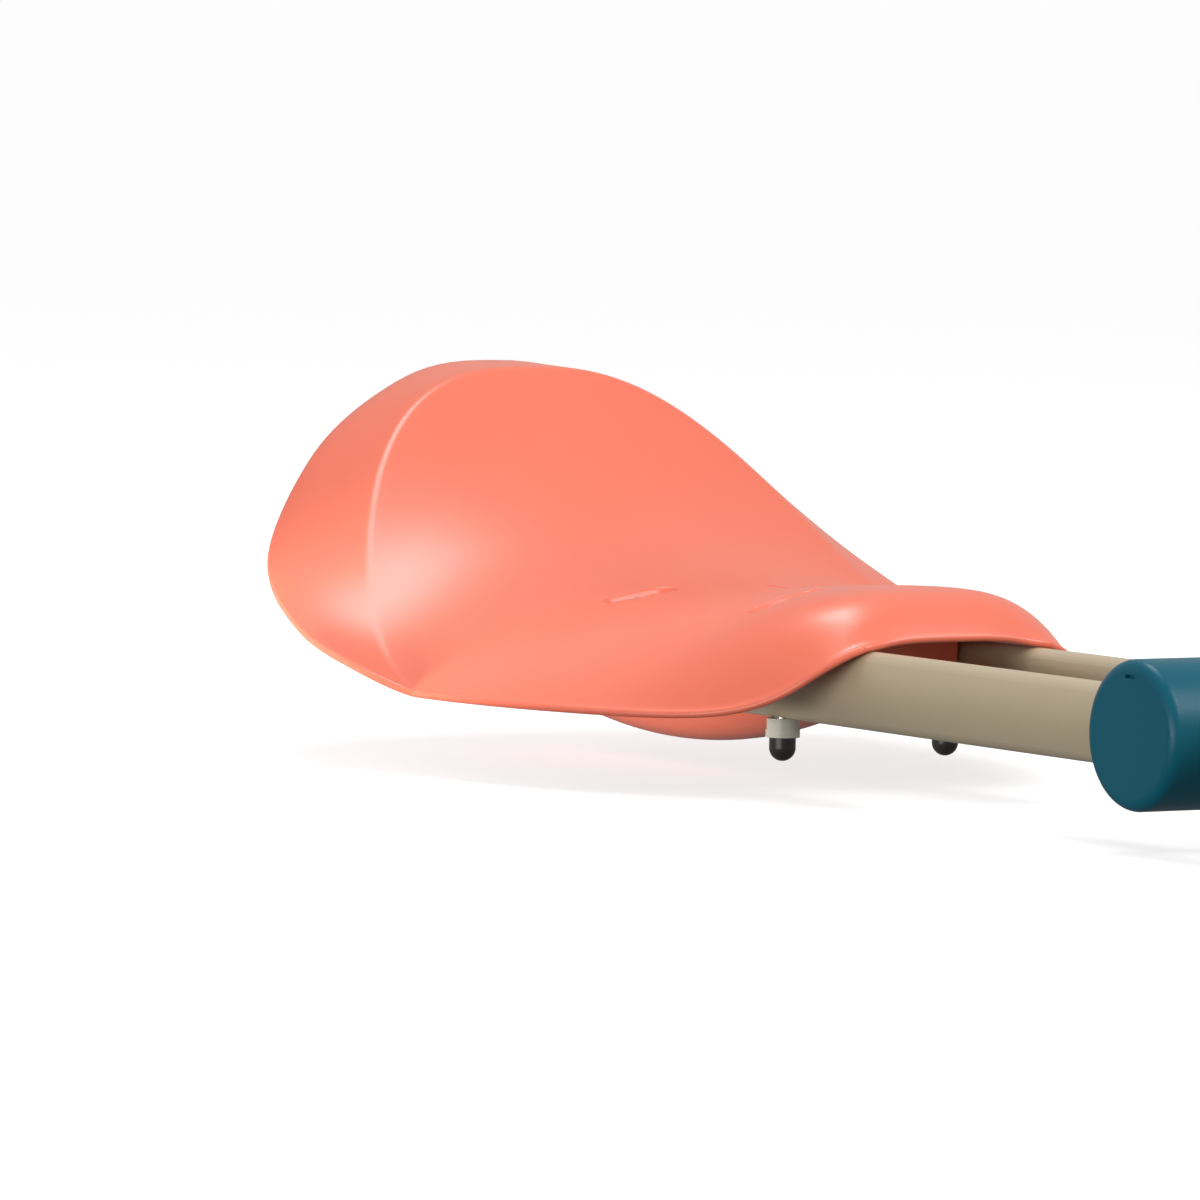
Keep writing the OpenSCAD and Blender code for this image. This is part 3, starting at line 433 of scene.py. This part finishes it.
def build_scoop():
    """The moulded scoop as one closed sheet with a rounded rim."""
    cut, plain = scoop_sheet()
    rays, cols = cut.shape[:2]
    n = grid_normals(plain)
    n[:, 0, 1] = 0
    n[-1, :, 1] = 0
    n /= np.linalg.norm(n, axis=2, keepdims=True)
    under = plain - n * (SHEET_T + pad(plain[:, :, 0], plain[:, :, 1]))[:, :, None]
    verts, index, faces = [], {}, []

    def put(key, p):
        if key not in index:
            index[key] = len(verts)
            verts.append(((BOLT_X / MM + p[0]) * MM, p[1] * MM, (TUBE_LOW / MM + p[2]) * MM))
        return index[key]

    def key(layer, i, j, side):
        shared = j == 0 or i == rays - 1
        return (layer, i, j, 0 if shared else side)

    def vertex(layer, i, j, side):
        p = (cut if layer == 0 else under)[i, j].copy()
        p[1] = 0.0 if (j == 0 or i == rays - 1) else p[1] * side
        return put(key(layer, i, j, side), p)

    for side in (1, -1):
        for i in range(rays - 1):
            for j in range(cols - 1):
                top = [vertex(0, i, j, side), vertex(0, i + 1, j, side), vertex(0, i + 1, j + 1, side),
                       vertex(0, i, j + 1, side)]
                low = [vertex(1, i, j, side), vertex(1, i, j + 1, side), vertex(1, i + 1, j + 1, side),
                       vertex(1, i + 1, j, side)]
                faces.append(top if side > 0 else top[::-1])
                faces.append(low if side > 0 else low[::-1])

    # Rounded rim between the two sheets, all the way round
    loop = [(0, j, 1) for j in range(cols)] + [(i, cols - 1, 1) for i in range(1, rays)]
    loop += [(i, cols - 1, -1) for i in range(rays - 2, -1, -1)] + [(0, j, -1) for j in range(cols - 2, 0, -1)]
    tops = np.array([verts[vertex(0, i, j, s)] for i, j, s in loop])
    lows = np.array([verts[vertex(1, i, j, s)] for i, j, s in loop])
    centre = (tops + lows) / 2
    along = np.roll(centre, -1, axis=0) - np.roll(centre, 1, axis=0)
    up = (tops - lows) / 2
    outward = np.cross(along, up)
    outward /= np.linalg.norm(outward, axis=1, keepdims=True)
    radius = np.linalg.norm(up, axis=1, keepdims=True)
    ring = [[vertex(0, i, j, s) for i, j, s in loop]]
    for k in range(1, RIM_STEPS):
        t = math.pi * k / RIM_STEPS
        points = centre + up * math.cos(t) - outward * radius * math.sin(t) * RIM_FULLNESS
        ids = []
        for p in points:
            ids.append(len(verts))
            verts.append(tuple(p))
        ring.append(ids)
    ring.append([vertex(1, i, j, s) for i, j, s in loop])
    count = len(loop)
    for k in range(RIM_STEPS):
        for q in range(count):
            r = (q + 1) % count
            faces.append([ring[k][q], ring[k + 1][q], ring[k + 1][r], ring[k][r]])
    obj = new_mesh("scoop_shell", verts, faces, "coral_shell", "head_section", replaces=("head_scoop",))
    bm = bmesh.new()
    bm.from_mesh(obj.data)
    bmesh.ops.recalc_face_normals(bm, faces=bm.faces)
    bm.to_mesh(obj.data)
    bm.free()


build_scoop()


# ---- Stage, light and camera -------------------------------------------------
floor_mat = Nodes("floor_pale")
floor_mat.set(Base_Color=(0.45, 0.45, 0.45), Roughness=0.9, Specular_IOR_Level=0.1)
floor_mat.set(Emission_Color=(1.0, 1.0, 1.0), Emission_Strength=0.74)
floor_mesh = bpy.data.meshes.new("floor")
HALF_FLOOR = 60.0
corners = [(HALF_FLOOR * a, HALF_FLOOR * b, 0) for a, b in ((-1, -1), (1, -1), (1, 1), (-1, 1))]
floor_mesh.from_pydata(corners, [], [(0, 1, 2, 3)])
floor_mesh.materials.append(floor_mat.mat)
floor = bpy.data.objects.new("floor", floor_mesh)
scene.collection.objects.link(floor)
floor.visible_diffuse = False
floor.visible_glossy = False

# Near-white where the camera sees the world; dimmer, and darker below the horizon, as light and in reflections
world = bpy.data.worlds.new("studio")
scene.world = world
world.use_nodes = True
wt = world.node_tree
wt.nodes.clear()
out = wt.nodes.new("ShaderNodeOutputWorld")
shade = wt.nodes.new("ShaderNodeBackground")
plain = wt.nodes.new("ShaderNodeBackground")
plain.inputs["Color"].default_value = (0.985, 0.985, 0.985, 1)
choose = wt.nodes.new("ShaderNodeMixShader")
path = wt.nodes.new("ShaderNodeLightPath")
coords = wt.nodes.new("ShaderNodeTexCoord")
split = wt.nodes.new("ShaderNodeSeparateXYZ")
ramp = wt.nodes.new("ShaderNodeValToRGB")
rescale = wt.nodes.new("ShaderNodeMapRange")
rescale.inputs["From Min"].default_value = -1
wt.links.new(coords.outputs["Generated"], split.inputs[0])
wt.links.new(split.outputs["Z"], rescale.inputs["Value"])
wt.links.new(rescale.outputs["Result"], ramp.inputs["Fac"])
stops = [(0.0, 0.13), (0.42, 0.22), (0.52, 0.52), (1.0, 0.50)]
while len(ramp.color_ramp.elements) < len(stops):
    ramp.color_ramp.elements.new(0.5)
for element, (place, level) in zip(ramp.color_ramp.elements, stops):
    element.position = place
    element.color = (level, level, level, 1)
wt.links.new(ramp.outputs["Color"], shade.inputs["Color"])
wt.links.new(path.outputs["Is Camera Ray"], choose.inputs["Fac"])
wt.links.new(shade.outputs[0], choose.inputs[1])
wt.links.new(plain.outputs[0], choose.inputs[2])
wt.links.new(choose.outputs[0], out.inputs["Surface"])


def area_light(name, place, target, size, power):
    data = bpy.data.lights.new(name, "AREA")
    data.shape = "RECTANGLE"
    data.size, data.size_y = size
    data.energy = power
    obj = bpy.data.objects.new(name, data)
    scene.collection.objects.link(obj)
    obj.location = place
    obj.rotation_euler = (Vector(target) - Vector(place)).to_track_quat("-Z", "Y").to_euler()


middle = Vector((BOLT_X, 0, TUBE_LOW + 0.05))
area_light("overhead", middle + Vector((0.60, -0.06, 1.98)), middle + Vector((0.18, 0.1, 0)),
           (0.6, 0.6), 15)
area_light("key", middle + Vector((-1.7, -0.9, 1.75)), middle, (1.4, 1.4), 42)
area_light("low", middle + Vector((-0.9, 2.2, 0.08)), middle, (1.8, 0.3), 23)

# Narrow fill that reaches the keel under the pan's edge
keel_spot = bpy.data.lights.new("keel_fill", "SPOT")
keel_spot.energy = 9.0
keel_spot.spot_size, keel_spot.spot_blend = math.radians(42), 0.5
keel_spot.shadow_soft_size = 0.03
keel_fill = bpy.data.objects.new("keel_fill", keel_spot)
scene.collection.objects.link(keel_fill)
keel_fill.location = middle + Vector((0.30, 0.45, -0.06))
keel_fill.rotation_euler = Vector((-0.17, -0.45, 0.0)).to_track_quat("-Z", "Y").to_euler()
keel_fill.visible_glossy = False

# Camera solved from the photograph's view: 4 m away, 4.55 degrees above level, rolled 1.27 degrees
VIEW_TURN, VIEW_DOWN, ROLL = math.radians(33.8), math.radians(4.55), math.radians(1.27)
DISTANCE, FOCAL_PX, FRAME_PX, SENSOR_MM = 4.0, 8876.0, 1200.0, 36.0
level = Vector((math.cos(VIEW_TURN), -math.sin(VIEW_TURN), 0))
right = Vector((-math.sin(VIEW_TURN), -math.cos(VIEW_TURN), 0))
forward = level * math.cos(VIEW_DOWN) - Vector((0, 0, math.sin(VIEW_DOWN)))
upward = right.cross(forward)
ORIGIN = Vector((BOLT_X, 0, TUBE_LOW))
ORIGIN_PX = (865.2, 715.5)
eye = ORIGIN - forward * DISTANCE
right_r = right * math.cos(ROLL) + upward * math.sin(ROLL)
upward_r = upward * math.cos(ROLL) - right * math.sin(ROLL)
# Turn the camera so that the origin falls on its place in the frame
dx = (ORIGIN_PX[0] - FRAME_PX / 2) / FOCAL_PX
dy = (FRAME_PX / 2 - ORIGIN_PX[1]) / FOCAL_PX
aim = (forward - right_r * dx - upward_r * dy).normalized()
side = (right_r - aim * right_r.dot(aim)).normalized()
top = side.cross(aim)
cam_data = bpy.data.cameras.new("camera")
cam_data.sensor_width = SENSOR_MM
cam_data.lens = SENSOR_MM * FOCAL_PX / FRAME_PX
cam_data.clip_start, cam_data.clip_end = 0.1, 200
camera = bpy.data.objects.new("camera", cam_data)
scene.collection.objects.link(camera)
camera.matrix_world = Matrix((
    (side.x, top.x, -aim.x, eye.x),
    (side.y, top.y, -aim.y, eye.y),
    (side.z, top.z, -aim.z, eye.z),
    (0, 0, 0, 1),
))
scene.camera = camera
scene.view_settings.view_transform = "Standard"
scene.view_settings.look = "None"
